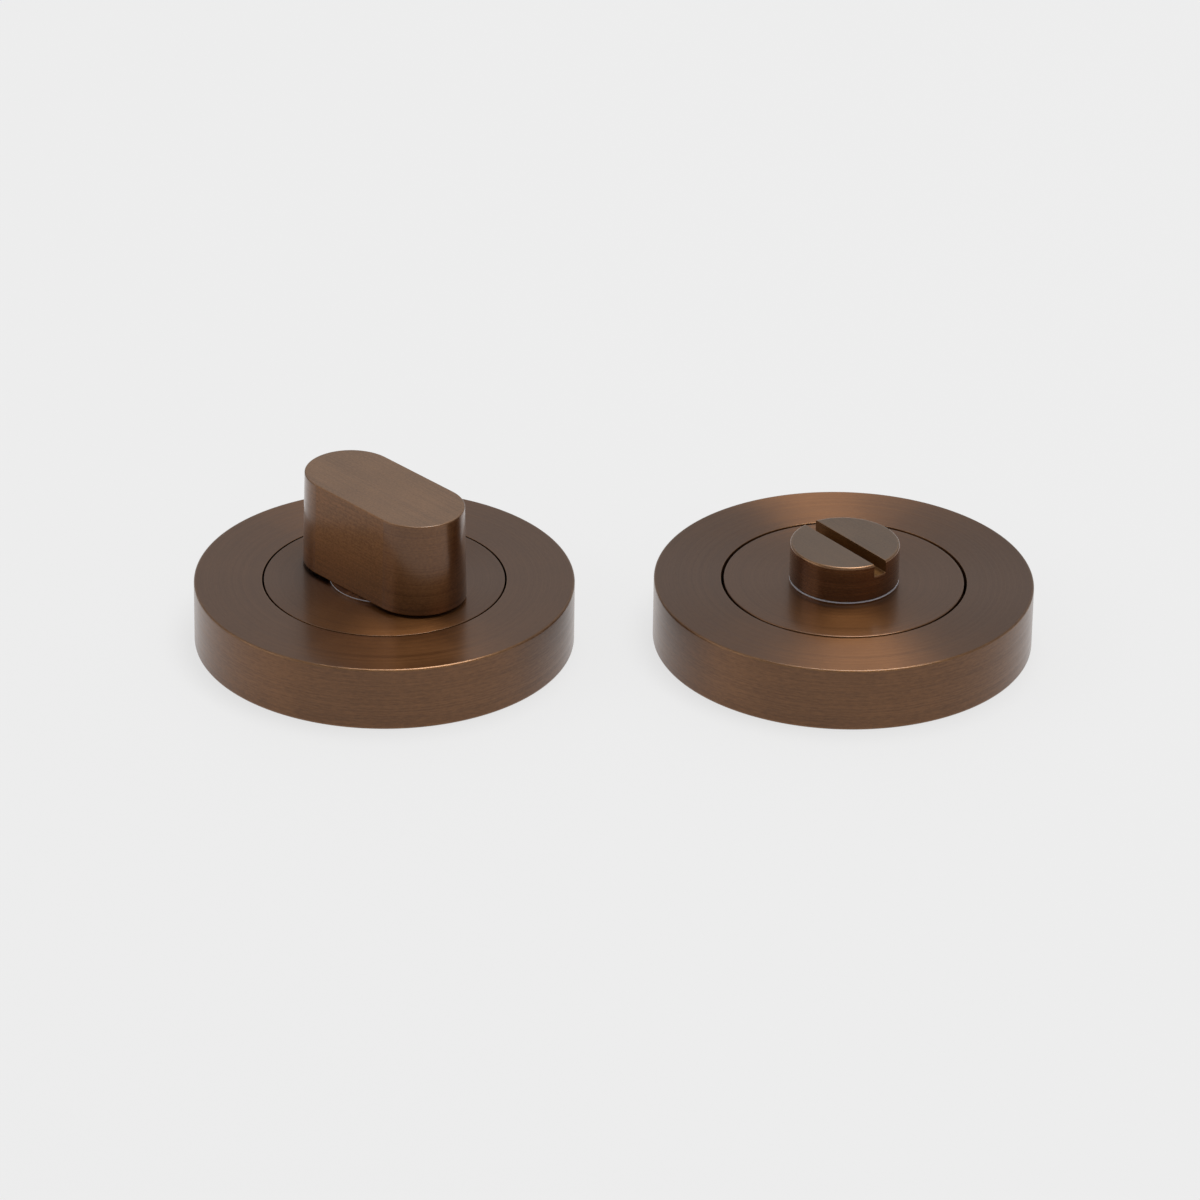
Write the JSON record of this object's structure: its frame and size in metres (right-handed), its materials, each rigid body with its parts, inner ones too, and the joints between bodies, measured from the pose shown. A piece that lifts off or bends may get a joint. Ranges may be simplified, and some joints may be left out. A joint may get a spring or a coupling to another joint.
{
  "type": "bathroom thumb turn lock",
  "caption": "Bathroom thumb turn with a round ended grip, and its slotted emergency release, each on a round rose.",
  "frame": {"origin": "on the plane of the two backs, where the door's faces go, midway between the axes of the two halves", "axes": "+X from the thumb turn half to the release half, +Z along both axes out of the roses, +Y away from the viewer"},
  "size_m": [0.1148, 0.052, 0.0229],
  "materials": {
    "bronze": "satin dark bronze, finely brushed",
    "nylon": "plain white nylon",
    "spring_steel": "bright spring steel"
  },
  "bodies": {
    "roses": {"turn_cover_ring": "bronze", "turn_base_rose": "bronze", "turn_bush": "nylon", "turn_spring_washer": "spring_steel", "turn_thrust_washer": "spring_steel", "release_cover_ring": "bronze", "release_base_rose": "bronze", "release_bush": "nylon", "release_spring_washer": "spring_steel", "release_thrust_washer": "spring_steel"},
    "turn": {"thumb_turn": "bronze", "turn_circlip": "spring_steel"},
    "release": {"release_knob": "bronze", "release_circlip": "spring_steel"}
  },
  "joints": [
    {"name": "turn_spin", "type": "hinge", "parent": "roses", "child": "turn", "pos_m": [-0.0314, 0, 0.0091], "axis": [0, 0, 1], "continuous": true},
    {"name": "release_spin", "type": "hinge", "parent": "roses", "child": "release", "pos_m": [0.0314, 0, 0.0091], "axis": [0, 0, 1], "continuous": true}
  ]
}
